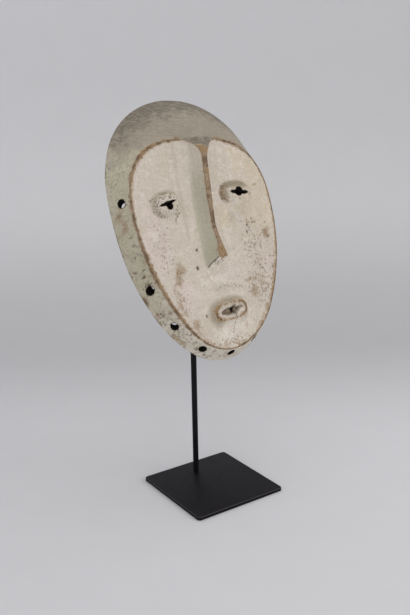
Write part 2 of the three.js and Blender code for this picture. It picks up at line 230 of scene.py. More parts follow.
def mix(a, b, share):
    return a + (b - a) * share


def soft_max(a, b, blend):
    """The higher of two heights, rounded where they meet."""
    share = np.clip(0.5 + 0.5 * (a - b) / blend, 0, 1)
    return mix(b, a, share) + blend * share * (1 - share)


def egg_radius(outline, angle):
    return sum(size * np.cos(k * angle) for k, size in enumerate(outline))


def swell(across, up):
    below = np.maximum(0, BROW_UP - up)
    return BROW_SWELL * bell(across, BROW_HALF_WIDTH) * np.exp(-((below / BROW_FADE) ** 1.35))


def chin_dip(up):
    return CHIN_DIP * bell(up, CHIN_DIP_REACH)


def face_share(across, up):
    """How far out from the centre to the face edge a point lies."""
    angle = np.arctan2(across, up - CENTRE_HEIGHT)
    return np.hypot(across, up - CENTRE_HEIGHT) / egg_radius(FACE_OUTLINE, angle)


def face_depth(across, up):
    share = np.minimum(1, face_share(across, up))
    return swell(across, up) - chin_dip(up) - FACE_HOLLOW * (1 - share ** 3)


def on_outline(outline, angle, inset=0.0, share=1.0):
    radius = (egg_radius(outline, angle) - inset) * share
    return radius * np.sin(angle), CENTRE_HEIGHT + radius * np.cos(angle)


def face_edge(angle):
    across, up = on_outline(FACE_OUTLINE, angle)
    step = BROW_STEP * ramp(np.cos(angle), 0.55, 1)
    return np.stack([across, up, swell(across, up) - chin_dip(up) + step], -1)


def rim_edge(angle, inset=0.0):
    across, up = on_outline(RIM_OUTLINE, angle, inset)
    drop = RIM_CHIN_DROP * bell(up + 9, RIM_CHIN_REACH)
    return np.stack([across, up, -RIM_BACK - RIM_SLOPE * up - drop], -1)


def inner_corner(angle):
    across, up = on_outline(FACE_OUTLINE, angle, INNER_EDGE_INSET)
    return np.stack([across, up, face_depth(across, up) - WALL], -1)


def band_frame(start, end, angle):
    """The way back along the band and the way out of it."""
    chord = end - start
    out = np.stack([np.sin(angle), np.cos(angle), np.zeros_like(angle)], -1)
    run = (chord * out).sum(-1, keepdims=True)
    drop = chord[..., 2:3]
    normal = -drop * out
    normal[..., 2:3] += run
    return chord, normal / np.linalg.norm(normal, axis=-1, keepdims=True)


def band_bulge(angle, share):
    """How far the band stands out from the straight line between its edges."""
    bulge = BAND_BULGE + FOREHEAD_BULGE * np.maximum(0, (np.cos(angle) - FOREHEAD_START) / FOREHEAD_RUN)
    return bulge * 4 * share * (1 - share)


def band_point(start, end, angle, share):
    chord, normal = band_frame(start, end, angle)
    return start + chord * share + normal * band_bulge(angle, share)[..., None]


def ridge_half(up):
    above = ramp(up, NOSE_WAIST, NOSE_WAIST + 30)
    below = np.maximum(0, (TIP_FLARE_UP - up) / (TIP_FLARE_UP - NOSE_TIP)) ** 1.5
    root = np.maximum(0, (up - ROOT_FLARE_UP) / ROOT_FLARE_RUN) ** 3
    gain = CREST_WAIST_GAIN * above
    return CREST_HALF + gain + CREST_TIP_GAIN * below + CREST_ROOT_GAIN * np.minimum(1.2, root)


def end_rise(up):
    """0 at the foot of the nose's flat end, 1 at the tip above it."""
    return np.clip((up - NOSE_FOOT) / (NOSE_TIP - NOSE_FOOT), 0, 1)


def crest_half(across, up):
    """Half width of the nose's crest, and below the tip of the flat end."""
    return mix(np.where(across < 0, *END_HALF), ridge_half(up), end_rise(up))


def ridge_depth(up):
    low = np.clip((NOSE_WAIST - up) / (NOSE_WAIST - NOSE_TIP), 0, 1)
    high = np.clip((up - NOSE_WAIST) / (NOSE_ROOT - NOSE_WAIST), 0, 1)
    return WAIST_DEPTH + TIP_RISE * np.sin(low * math.pi / 2) ** 2 + ROOT_RISE * high ** 1.25


def crest_depth(across, up):
    return ridge_depth(up) - BROW_SWELL * (1 - bell(across, BROW_HALF_WIDTH))


def nose_depth(across, up):
    """Height of the nose: a flat crest with hollow flanks, and a flat end under the tip."""
    half = crest_half(across, up)
    reach = np.maximum(np.where(across < 0, *FLANK_REACH), half + 2)
    ground = face_depth(across, up)
    away = np.abs(across)
    crest = mix(ground + 0.3, crest_depth(np.minimum(away, half), up), end_rise(up))
    fall = np.clip((away - half) / (reach - half), 0, 1)
    height = mix(ground - 0.6, crest, (1 - fall) ** 1.6)
    outside = (away > reach) | (up < NOSE_FOOT - 1) | (up > NOSE_TOP)
    return np.where(outside, ground - 6, height)


def oval_place(oval, across, up):
    """A point in the oval's own directions."""
    tilt = math.radians(oval["tilt"])
    x, y = across - oval["across"], up - oval["up"]
    return x * math.cos(tilt) + y * math.sin(tilt), y * math.cos(tilt) - x * math.sin(tilt)


def oval_reach(oval, half, across, up):
    """1 on the oval's outline, less inside it."""
    x, y = oval_place(oval, across, up)
    power = oval["roundness"]
    return (np.abs(x / half[0]) ** power + np.abs(y / half[1]) ** power) ** (1 / power)


def oval_climb(oval, across, up):
    """0 at the foot of a raised oval, 1 at the edge of its top, more inside it."""
    low = np.full(np.shape(across), -1.0)
    high = np.full(np.shape(across), 1.6)
    for _ in range(14):
        middle = (low + high) / 2
        half = [mix(oval["foot"][k], oval["top"][k], middle) for k in (0, 1)]
        inside = oval_reach(oval, half, across, up) < 1
        low = np.where(inside, middle, low)
        high = np.where(inside, high, middle)
    return (low + high) / 2


def mound_height(oval, across, up):
    """A raised oval, lower on the side away from where it is steepest."""
    x, y = oval_place(oval, across, up)
    lean = oval.get("lean", (0, 0, 0))
    towards = np.clip(x / oval["foot"][0] * lean[0] + y / oval["foot"][1] * lean[1], -1, 1)
    return oval["height"] * (1 + lean[2] * towards) * ramp(oval_climb(oval, across, up), -0.15, 1.12)


def face_height(across, up):
    """The carved front: hollow face, nose, raised eyes, and mouth with its slot."""
    height = soft_max(nose_depth(across, up), face_depth(across, up), 0.9)
    for oval in (LEFT_EYE, RIGHT_EYE, MOUTH):
        height = height + mound_height(oval, across, up)
    lips = 1 - ramp(oval_reach(MOUTH, LIPS_HALF, across, up), 0.72, 1.02)
    slot = 1 - ramp(oval_reach(MOUTH_SLOT, MOUTH_SLOT["half"], across, up), 0.75, 1.1)
    height = height - LIPS_DIP * lips
    height = mix(height, np.minimum(height, MOUTH_SLOT["floor"]), slot)
    for oval in SLITS + PUPILS:
        lip = oval_reach(oval, [size + CUT_EDGE_WIDTH for size in oval["half"]], across, up)
        height = height - CUT_EDGE_DIP * (1 - ramp(lip, 0.75, 1.15))
    for x, y, radius, depth in FACE_PITS:
        height = height - depth * bell(np.hypot(across - x, up - y), radius)
    return height


def crack_distance(cracks, across, up):
    """Distance to the nearest of some straight cracks."""
    nearest = np.full(np.shape(across), 1e3)
    for (x0, y0), (x1, y1) in cracks:
        dx, dy = x1 - x0, y1 - y0
        share = np.clip(((across - x0) * dx + (up - y0) * dy) / (dx * dx + dy * dy), 0, 1)
        nearest = np.minimum(nearest, np.hypot(across - x0 - share * dx, up - y0 - share * dy))
    return nearest


def grain(points, size, seed):
    """Smooth noise about -1 to 1, with bumps about one size across."""
    shift = Vector((seed * 17.3, seed * 5.1, seed * 9.7))
    return np.array([noise.noise(Vector(p) / size + shift) for p in points])


def mask_pose():
    turn = (
        Matrix.Rotation(math.radians(TURN_TO_RIGHT), 4, "Z")
        @ Matrix.Rotation(math.radians(-LEAN_BACK), 4, "X")
        @ Matrix.Rotation(math.radians(TIP_TO_RIGHT), 4, "Y")
    )
    return Matrix.Translation(Vector(CHIN_POINT) * MM) @ turn


def to_world(points):
    """Across, up and forward in millimetres to metres in the frame."""
    pose = np.array(mask_pose())
    own = np.stack([points[:, 0], -points[:, 2], points[:, 1]], -1) * MM
    return own @ pose[:3, :3].T + pose[:3, 3]


def to_carving(points):
    """Metres in the frame to across, up and forward in millimetres."""
    pose = np.array(mask_pose())
    own = (points - pose[:3, 3]) @ pose[:3, :3] / MM
    return np.stack([own[:, 0], own[:, 2], -own[:, 1]], -1)


# The mask's mesh

FACE_RINGS, EDGE_RINGS, BAND_RINGS, RIM_RINGS = 104, 5, 36, 5
INNER_BAND_RINGS, CORNER_RINGS, INNER_FACE_RINGS = 10, 6, 16
SPOKES = 480
EDGE_ROUND = 0.012
RIM_ROUND = 0.05
# How far the spokes crowd towards the sides, and the angle from which an edge stays sharp
SPOKE_CROWDING = 0.17
SHARP_FROM, STAND_SHARP_FROM = 38, 40


def corner_arc(before, corner, after, share):
    return before * (1 - share) ** 2 + corner * 2 * share * (1 - share) + after * share ** 2


def outer_ring(station, angle):
    """One ring of the outer skin, from the face's centre out and back to the rim."""
    if station <= FACE_RINGS:
        share = (1 - EDGE_ROUND) * station / FACE_RINGS
        across, up = on_outline(FACE_OUTLINE, angle, share=share)
        return np.stack([across, up, face_height(across, up)], -1)
    edge, rim = face_edge(angle), rim_edge(angle)
    station -= FACE_RINGS
    if station <= EDGE_RINGS:
        across, up = on_outline(FACE_OUTLINE, angle, share=1 - EDGE_ROUND)
        inside = np.stack([across, up, face_height(across, up)], -1)
        behind = band_point(edge, rim, angle, RIM_ROUND)
        return corner_arc(inside, edge, behind, station / EDGE_RINGS)
    station -= EDGE_RINGS
    return band_point(edge, rim, angle, mix(RIM_ROUND, 1 - RIM_ROUND, station / BAND_RINGS))


def inner_ring(station, angle):
    """One ring of the rim's back and of the hollow, from the rim in to the centre."""
    edge, rim, lip = face_edge(angle), rim_edge(angle), rim_edge(angle, RIM_WIDTH)
    corner = inner_corner(angle)
    back = (rim + lip) / 2
    if station <= RIM_RINGS:
        before = band_point(edge, rim, angle, 1 - RIM_ROUND)
        return corner_arc(before, rim, mix(rim, back, 0.4), station / RIM_RINGS)
    station -= RIM_RINGS
    if station <= RIM_RINGS:
        inward = band_point(corner, lip, angle, LIP_SHARE)
        return corner_arc(mix(rim, back, 1.2), lip, inward, station / RIM_RINGS)
    station -= RIM_RINGS
    if station <= INNER_BAND_RINGS:
        return band_point(corner, lip, angle, mix(LIP_SHARE, CORNER_SHARE, station / INNER_BAND_RINGS))
    station -= INNER_BAND_RINGS
    across, up = on_outline(FACE_OUTLINE, angle, share=FLOOR_SHARE)
    floor = np.stack([across, up, face_depth(across, up) - WALL], -1)
    if station <= CORNER_RINGS:
        before = band_point(corner, lip, angle, CORNER_SHARE)
        return corner_arc(before, corner, floor, station / CORNER_RINGS)
    station -= CORNER_RINGS
    across, up = on_outline(FACE_OUTLINE, angle, share=FLOOR_SHARE * (1 - station / INNER_FACE_RINGS))
    return np.stack([across, up, face_depth(across, up) - WALL], -1)


def bore_axis(degrees, lift, front=0, along=0):
    """Middle and inward direction of a hole in the band, square to it but for its lean."""
    angle = np.array([math.radians(degrees)])
    edge, rim = face_edge(angle), rim_edge(angle)
    chord, normal = band_frame(edge, rim, angle)
    forward = -chord[0] / np.linalg.norm(chord[0])
    side = np.cross(normal[0], forward)
    inward = -normal[0] + math.tan(math.radians(front)) * forward + math.tan(math.radians(along)) * side
    return band_point(edge, rim, angle, lift)[0], inward / np.linalg.norm(inward)


def axis_distance(points, middle, direction):
    offset = points - middle
    along = offset @ direction
    return np.linalg.norm(offset - along[:, None] * direction, axis=-1), along


def eye_cutter(mesh, slit, pupil):
    """Adds a prism of an eye's outline, a slit with a round hole, slanting through the face."""
    made = bmesh.ops.create_cone(mesh, cap_ends=True, segments=96, radius1=1, radius2=1, depth=1)["verts"]
    rays = np.linspace(0.05, 14, 280)
    for vert in made:
        way = np.array([vert.co.x, vert.co.y]) / math.hypot(vert.co.x, vert.co.y)
        across, up = pupil["across"] + rays * way[0], pupil["up"] + rays * way[1]
        within = oval_reach(slit, slit["half"], across, up) < 1
        reach = max(pupil["half"][0], rays[within].max() if within.any() else 0)
        slide, forward = (-CUT_LEAD, CUT_FRONT) if vert.co.z > 0 else (1, CUT_BACK)
        place = [
            pupil["across"] + reach * way[0] + slide * EYE_SLANT[0],
            pupil["up"] + reach * way[1] + slide * EYE_SLANT[1], forward,
        ]
        vert.co = Vector(to_world(np.array([place]))[0])


def add_bar(mesh, start, end, diameter, segments):
    """Adds a round bar between two points."""
    turn = (end - start).to_track_quat("Z", "X").to_matrix().to_4x4()
    bmesh.ops.create_cone(
        mesh, cap_ends=True, segments=segments, radius1=diameter / 2 * MM, radius2=diameter / 2 * MM,
        depth=(end - start).length, matrix=Matrix.Translation((start + end) / 2) @ turn,
    )


def bore_cutter(mesh, hole, diameter):
    """Adds a round bar along a rim hole."""
    middle, inward = bore_axis(*hole)
    ends = to_world(np.array([middle - inward * BORE_OUT, middle + inward * BORE_IN]))
    add_bar(mesh, Vector(ends[0]), Vector(ends[1]), diameter, 36)


def object_from(mesh_name, mesh):
    """A Blender object from a bmesh, which is then freed."""
    data = bpy.data.meshes.new(mesh_name)
    mesh.to_mesh(data)
    mesh.free()
    made = bpy.data.objects.new(mesh_name, data)
    bpy.context.scene.collection.objects.link(made)
    return made


def cut_with(target, cutter):
    """Cuts one object's volume out of another, for good, and drops the cutter."""
    cut = target.modifiers.new("cut", "BOOLEAN")
    cut.operation, cut.solver, cut.object = "DIFFERENCE", "EXACT", cutter
    bpy.context.view_layer.update()
    shape = bpy.data.meshes.new_from_object(target.evaluated_get(bpy.context.evaluated_depsgraph_get()))
    target.modifiers.clear()
    target.data = shape
    shape.name = target.name
    bpy.data.objects.remove(cutter)


def relief(points, outer):
    """Hand-worked unevenness of the surface, in millimetres."""
    broad = 0.22 * grain(points, 26.0, 1) + 0.1 * grain(points, 9.0, 2)
    fine = 0.05 * grain(points, 3.2, 3)
    adze = 0.28 * grain(points * np.array([1.0, 0.45, 1.0]), 11.0, 4)
    return np.where(outer, broad + fine, broad * 1.4 + adze)


def build_mask(diameter):
    mesh = bmesh.new()
    rings = FACE_RINGS + EDGE_RINGS + BAND_RINGS
    total = rings + 2 * RIM_RINGS + INNER_BAND_RINGS + CORNER_RINGS + INNER_FACE_RINGS
    bmesh.ops.create_uvsphere(mesh, u_segments=SPOKES, v_segments=total, radius=1)
    sphere = np.array([v.co[:] for v in mesh.verts])
    station = np.rint(np.arccos(np.clip(sphere[:, 2], -1, 1)) / math.pi * total).astype(int)
    spin = np.pi / 2 - np.arctan2(sphere[:, 1], sphere[:, 0])
    angle = spin - SPOKE_CROWDING * np.sin(2 * spin)
    points = np.zeros_like(sphere)
    for ring in range(total + 1):
        chosen = station == ring
        if ring <= rings:
            points[chosen] = outer_ring(ring, angle[chosen])
        else:
            points[chosen] = inner_ring(ring - rings, angle[chosen])
    outer = station <= rings
    forward = np.array([0.0, 0.0, 1.0])
    _, band_out = band_frame(face_edge(angle), rim_edge(angle), angle)
    on_band = ramp(station.astype(float), FACE_RINGS - 1, FACE_RINGS + EDGE_RINGS)[:, None]
    way = np.where(outer[:, None], mix(forward, band_out, on_band), forward)
    way /= np.linalg.norm(way, axis=1, keepdims=True)
    push = relief(points, outer)
    band = outer & (station > FACE_RINGS)
    for hole in RIM_HOLES:
        middle, inward = bore_axis(*hole)
        away, along = axis_distance(points, middle, inward)
        near = band & (np.abs(along) < 8)
        softening = HOLE_SOFTENING[0] * bell(np.maximum(0, away - diameter / 2), HOLE_SOFTENING[1])
        push = np.where(near, push - softening, push)
    for degrees, lift, radius, depth in BAND_PITS:
        middle, _ = bore_axis(degrees, lift)
        push = np.where(band, push - depth * bell(np.linalg.norm(points - middle, axis=1), radius), push)
    cracked = crack_distance(FACE_CRACKS, points[:, 0], points[:, 1])
    push = np.where(station <= FACE_RINGS, push - CRACK_CUT[0] * bell(cracked, CRACK_CUT[1]), push)
    points = points + way * push[:, None]
    for vert, place in zip(mesh.verts, to_world(points)):
        vert.co = place
    mask = object_from("carved_mask", mesh)
    cutter = bmesh.new()
    for slit, pupil in zip(SLITS, PUPILS):
        eye_cutter(cutter, slit, pupil)
    for hole in RIM_HOLES:
        bore_cutter(cutter, hole, diameter)
    bmesh.ops.recalc_face_normals(cutter, faces=cutter.faces)
    cut_with(mask, object_from("cutter", cutter))
    mask.data.shade_smooth()
    mask.data.set_sharp_from_angle(angle=math.radians(SHARP_FROM))
    return mask


def colour_layer(data, name, red, green, blue):
    layer = data.attributes.new(name, "FLOAT_COLOR", "POINT")
    values = np.stack([red, green, blue, np.ones_like(red)], -1)
    layer.data.foreach_set("color", np.clip(values, 0, 1).astype(np.float32).ravel())


def scattered(seed, count, low, high, size):
    """Places, sizes and strengths of small flaws between two corners, the same in each run."""
    pick = random.Random(seed)
    spans = ((low[0], high[0]), (low[1], high[1]), size, (0.35, 1.0))
    return [tuple(pick.uniform(*span) for span in spans) for _ in range(count)]


def specks(*field, strength):
    return [(x, y, radius, strength * force) for x, y, radius, force in scattered(*field)]


def face_flaws():
    """Dark specks of the face: across, up, radius, strength."""
    flaws = [(x, y, radius * 0.8, 0.9) for x, y, radius, _ in FACE_PITS]
    # A ring of flakes round the left eye
    flaws += [
        (-47 + (14 + spread) * math.cos(turn), 143.5 + (9.5 + spread) * math.sin(turn), radius,
         0.35 + 0.5 * force)
        for turn, spread, radius, force in scattered(3, 66, (0, -4), (2 * math.pi, 3), (0.4, 0.75))
    ]
    *field, strength = CHEEK_FLAWS
    flaws += specks(*field, strength=strength)
    # A row of nicks in an arc over the mouth
    flaws += [
        (x, 60 - 0.012 * (x - 6) ** 2 + 5 * (force - 0.6), radius, 0.6 * force)
        for x, _, radius, force in scattered(11, 34, (-10, 0), (24, 1), (0.5, 0.9))
    ]
    for *field, strength in FACE_FLAWS:
        flaws += specks(*field, strength=strength)
    return flaws


def small_cracks():
    """Short cracks across the band, as ends in angle and stretched share of the way back."""
    return [
        ((degrees, lift * CRACK_STRETCH), (degrees + 4 * (force - 0.6), (lift + length) * CRACK_STRETCH))
        for degrees, lift, length, force in scattered(41, 34, (-172, 0.0), (-88, 0.85), (0.06, 0.3))
    ]


def mark_surface(mask, diameter):
    """Stores on the mesh where each finish, wear and stain lies, and where shade and light are painted."""
    data = mask.data
    co = np.zeros(len(data.vertices) * 3)
    data.vertices.foreach_get("co", co)
    points = to_carving(co.reshape(-1, 3))
    across, up, forward = points.T
    angle = np.arctan2(across, up - CENTRE_HEIGHT)
    round_way = np.degrees(angle)
    topness = np.cos(angle)
    share = face_share(across, up)
    edge, rim = face_edge(angle), rim_edge(angle)
    chord, normal = band_frame(edge, rim, angle)
    length = np.linalg.norm(chord, axis=1)
    back = ((points - edge) * chord).sum(1) / length ** 2
    off_band = ((points - edge) * normal).sum(1) - band_bulge(angle, back)
    on_face = share < 0.999
    band = ~on_face
    depth = np.where(on_face, face_height(across, up) - forward, -off_band)
    inside = ramp(depth, 0.9, 2.2)
    outside = 1 - inside
    run = np.clip(back, 0, 1)
    from_rim = (1 - run) * length
    from_edge = np.where(on_face, (1 - share) * egg_radius(FACE_OUTLINE, angle), run * length)
    wobble = grain(points, 14.0, 5)
    patch = grain(points, 5.0, 6)

    def near(degrees, reach):
        return bell(round_way - degrees, reach)

    def most(mark, *others):
        """The strongest of a mark's spots and of some other forms of it."""
        found = list(others)
        for strength, x, y, wide, high, *tilt in FACE_SPOTS.get(mark, ()):
            turn = math.radians(sum(tilt))
            dx, dy = across - x, up - y
            along = dx * math.cos(turn) + dy * math.sin(turn)
            aside = dy * math.cos(turn) - dx * math.sin(turn)
            found.append(strength * np.exp(-((along / wide) ** 2 + (aside / high) ** 2)) * on_face)
        for strength, degrees, lift, wide, high in BAND_SPOTS.get(mark, ()):
            gap = (round_way - degrees + 180) % 360 - 180
            found.append(strength * np.exp(-((gap / wide) ** 2 + ((back - lift) / high) ** 2)) * band)
        return np.maximum.reduce(found)

    # The crest of the nose is bare wood, darkest along its two edges, and opens into the forehead
    off_crest = np.abs(across) - crest_half(across, up)
    nose_run = ramp(up, 79.5, 82) * (1 - ramp(up, 203, 206)) * on_face
    past_tip = ramp(up, 86.5, 88.5)
    bare_run = past_tip * (1 - ramp(up + 3 * patch + 1.5 * wobble, 191.5, 196.5))
    brow = ramp(up, 189.5, 193.5) * (1 - ramp(off_crest, -0.3, 0.6)) * on_face
    crest = (1 - ramp(off_crest, -0.9, 0.4)) * nose_run * bare_run
    crest_edge = bell(off_crest + 0.35, 0.75) * nose_run * past_tip
    toe_edge = bell(off_crest, 0.7) * (across < 0) * ramp(up, 79, 81) * (1 - ramp(up, 87, 89)) * on_face
    # The flat end under the nose tip, painted paler: painted light on a face turned to the floor
    lit_nose_underside = ramp(up, 78.5, 80) * (1 - ramp(up, 86, 88)) * (1 - ramp(off_crest, -0.8, 0.4)) * on_face
    # The face edge is worn to bare wood in a line about 3 mm wide, thinner at the chin
    width = 1.75 + 0.7 * wobble + 0.9 * patch - 0.5 * near(-8, 22) + 0.9 * near(-38, 9)
    width = width + 0.5 * near(-105, 35) + 0.5 * near(150, 30)
    chin = ramp(-topness, 0.86, 0.98)
    width = np.maximum(0.9, width - 0.8 * chin)
    worn = bell(from_edge, np.where(on_face, width * 1.25, width * 0.95))
    worn = worn * (1 - 0.95 * ramp(-off_crest, -1.0, 0.6) * (up > 188))
    # So is the edge of the lips, most at their two ends
    climb = oval_climb(MOUTH, across, up)
    mouth_x, mouth_y = oval_place(MOUTH, across, up)
    above_mouth = (mouth_y > 0) * on_face
    lip_worn = bell(climb - 1.02, 0.3) * mix(0.45, 0.95, ramp(np.abs(mouth_x), 8, 15)) * on_face
    lip_worn = np.maximum(lip_worn, 0.5 * bell(climb - 1.02, 0.1) * above_mouth)
    rim_worn = bell(from_rim, 0.9) * band * ramp(wobble + 0.4 * patch, -0.5, 0.6)
    wear = most(
        "wear", 0.95 * worn, 0.74 * crest, 0.95 * crest_edge, lip_worn, 0.45 * rim_worn,
        crest * (0.62 + 0.4 * bell(up - 128, 12) + 0.2 * bell(up - 190, 5)),
        0.5 * bell(from_edge - 2, 3.5) * (near(128, 34) + 0.6 * near(-172, 26)) * on_face,
        0.55 * bell(from_edge, 3.0) * near(-150, 24) * on_face,
    ) * outside
    ochre = most(
        "ochre", 0.8 * crest * bell(up - 192, 6), 0.9 * near(-38, 8) * worn,
        0.8 * lip_worn, 0.5 * crest * bell(up - 170, 12),
        0.8 * bell(from_edge - 1.9, 1.1) * on_face * ramp(wobble, -0.35, 0.35) * (1 - brow) * (1 - chin),
    ) * outside

    # Dark marks: cracks, flaws and pits, and painted shade in the slot, the holes and the cuts
    eye_x, eye_y = oval_place(RIGHT_EYE, across, up)
    eye_climb = oval_climb(RIGHT_EYE, across, up)
    # The darker corner low on the left flank of the right eye's mound: painted shade with a brown stain
    corner = bell(eye_climb - 0.22, 0.36) * ramp(-eye_x / 21, 0.25, 0.8) * ramp(eye_y / 13, -1.3, -0.1)
    corner = corner * (0.85 + 0.4 * patch)
    slot = (1 - ramp(oval_reach(MOUTH_SLOT, MOUTH_SLOT["half"], across, up), 0.7, 1.1)) * on_face
    stretched = back * CRACK_STRETCH
    dark = most(
        "dark", 0.46 * slot, 0.4 * corner, 0.5 * bell(from_edge, 1.8) * near(52, 17),
        0.8 * near(-109, 1.2) * bell(from_edge, 1.4), 0.6 * near(-112.5, 0.7) * bell(from_edge, 1.8),
        0.6 * bell(crack_distance(FACE_CRACKS, across, up), 0.55) * on_face, 0.9 * toe_edge,
        0.3 * bell(climb - 1.05, 0.07) * above_mouth,
        0.85 * bell(crack_distance(BAND_CRACKS, round_way, stretched), 0.28) * band,
        0.5 * bell(crack_distance(small_cracks(), round_way, stretched), 0.2) * band,
    )
    # Painted shade: the eye cuts are black inside and just round their edges
    sliding = (CUT_FRONT - forward) / (CUT_FRONT - CUT_BACK) * (1 + CUT_LEAD) - CUT_LEAD
    for oval in SLITS + PUPILS:
        reach = oval_reach(oval, [size + 0.45 for size in oval["half"]],
                           across - sliding * EYE_SLANT[0], up - sliding * EYE_SLANT[1])
        dark = np.maximum(dark, (1 - ramp(reach, 1.0, 1.25)) * on_face)
    # Painted shade: dark in each rim hole's bore and in a ring round it, wider round the hole at 164 degrees
    for hole in RIM_HOLES:
        middle, inward_way = bore_axis(*hole)
        away, along = axis_distance(points, middle, inward_way)
        ring = bell(np.maximum(0, away - diameter / 2), 1.2 if hole[0] == 164 else 0.5) * (np.abs(along) < 11)
        dark = np.maximum(dark, ring * (band | (depth > 1)))
    for x, y, radius, strength in face_flaws():
        dark = np.maximum(dark, strength * bell(np.hypot(across - x, (up - y) * 0.75), radius) * on_face)
    pits = [(degrees, lift, radius * 0.8, 1.0) for degrees, lift, radius, _ in BAND_PITS]
    for field in BAND_FLAWS:
        pits += scattered(*field)
    for degrees, lift, radius, strength in pits:
        middle, _ = bore_axis(degrees, lift)
        speck = bell(np.linalg.norm(points - middle, axis=1), radius)
        dark = np.maximum(dark, 0.62 * strength * speck * band)

    # Shaded and stained places round the eyes, the mouth and the nose
    pitted = most("pitted", 0.8 * ramp(climb, 0.98, 1.15) * on_face) * outside
    # Painted shade on the right eye's mound: an arc over its left and upper flanks, joined to the darker
    # corner
    flank = ramp(eye_climb, -0.3, 0.2) * (1 - 0.75 * ramp(eye_climb, 0.6, 1.8))
    shaded_crescent = 0.85 * flank * ramp(eye_y / 13, 0.05, 0.6) * (1 - 0.5 * ramp(eye_x / 21, 0.2, 0.9))
    shaded_crescent = np.maximum(0.8 * corner, shaded_crescent)
    mouth_shadow = ramp(climb, -0.3, 0.8) * (1 - ramp(climb, 0.92, 1.05))
    mouth_shadow = mouth_shadow * ramp(np.maximum(-mouth_x / 25, mouth_y / 15), 0.2, 0.7)
    # Painted shade on the left eye's mound, on its left and upper sides
    left_x, left_y = oval_place(LEFT_EYE, across, up)
    lid_shade = bell(oval_climb(LEFT_EYE, across, up) - 0.5, 0.65)
    lid_shade = lid_shade * ramp(np.maximum(-left_x / 17, left_y / 13), 0.1, 0.6)
    # Brown stains, and in the same brown some of the painted shade round the eyes and the mouth
    brown = most("brown", slot, 0.35 * shaded_crescent, 1.25 * corner, 0.35 * mouth_shadow, 0.3 * lid_shade) * outside
    # Painted shade in a soft band left of the nose
    nose_side_shade = 0.3 * bell(np.abs(across) - 27, 3.2) * (across < 0) * nose_run * ramp(up, 95, 110)
    shade = most("shade", shaded_crescent, 0.7 * mouth_shadow, 0.55 * lid_shade, nose_side_shade) * outside
    # Paler places: the band towards its bottom, the chin, and the nose's underside, where it is painted light
    low = most("low", 0.75 * ramp(-topness, 0.35, 1.0) * band, 1.5 * lit_nose_underside) * outside
    rosy = most("rosy", 0.5 * bell(from_edge - 4, 3) * on_face) * outside * (1 - brow)
    green = ramp(off_crest, -0.2, 0.8) * (across < 0) * nose_run * outside
    green = green * (1 - ramp(-across, 11.0, 18.0)) * (1 - 0.65 * ramp(up, 140, 188))
    warm = most("warm", ramp(across, 10, 60) * ramp(up, 90, 140)) * on_face * outside
    # Painted shade in a broken dark line along the back rim, where the band's outline is seen
    rim_shade_line = np.maximum(
        bell(from_rim, 1.5) * ramp(wobble + patch, -0.7, 0.3),
        bell(from_rim, 2.2) * ramp(patch + 0.5 * wobble, 0.22, 0.5)) * band * outside
    forehead = np.maximum(ramp(topness + 0.08 * wobble, 0.5, 0.95) * band, brow) * outside
    # The top of the band darkens towards the back: darker clay, and painted shade where it turns away from
    # the light
    crown = ramp(back, 0.2, 0.9) * ramp(topness + 0.06 * wobble, 0.62, 0.97) * band
    crown = np.maximum(crown, 0.55 * brow) * outside

    colour_layer(data, "coat", on_face * outside * (1 - brow), forehead, inside)
    colour_layer(data, "age_and_shade", wear * (1 + 0.25 * patch), dark, pitted)
    colour_layer(data, "tone", brown * (1 + 0.35 * patch), rosy, green)
    colour_layer(data, "touch_and_shade", crown, ochre, rim_shade_line)
    colour_layer(data, "shading", warm, shade, low)


# Finishes

def add_node(tree, kind, inputs=None, **settings):
    """Adds one shader node with its settings, and a value or a link for each input named."""
    node = tree.nodes.new("ShaderNode" + kind)
    for key, value in settings.items():
        setattr(node, key, value)
    for socket, value in (inputs or {}).items():
        if isinstance(value, bpy.types.NodeSocket):
            tree.links.new(value, node.inputs[socket])
        else:
            node.inputs[socket].default_value = value
    return node


def new_finish(name):
    material = bpy.data.materials.new(name)
    material.use_nodes = True
    tree = material.node_tree
    tree.nodes.clear()
    return material, tree, add_node(tree, "OutputMaterial")


def pattern(tree, source, size_mm, detail=3.0, rough=0.55, stretch=(1, 1, 1), distortion=0.0):
    """Noise whose blotches are about one given size, on the piece's own place in the frame."""
    scale = tuple(1 / (size_mm * MM * s) for s in stretch)
    scaled = add_node(tree, "Mapping", {"Scale": scale, "Vector": source}).outputs[0]
    cloud = add_node(tree, "TexNoise", {
        "Vector": scaled, "Scale": 1.0, "Detail": detail, "Roughness": rough, "Distortion": distortion,
    }).outputs["Fac"]
    spread = {"Value": cloud, "From Min": 0.27, "From Max": 0.73}
    return add_node(tree, "MapRange", spread).outputs["Result"]


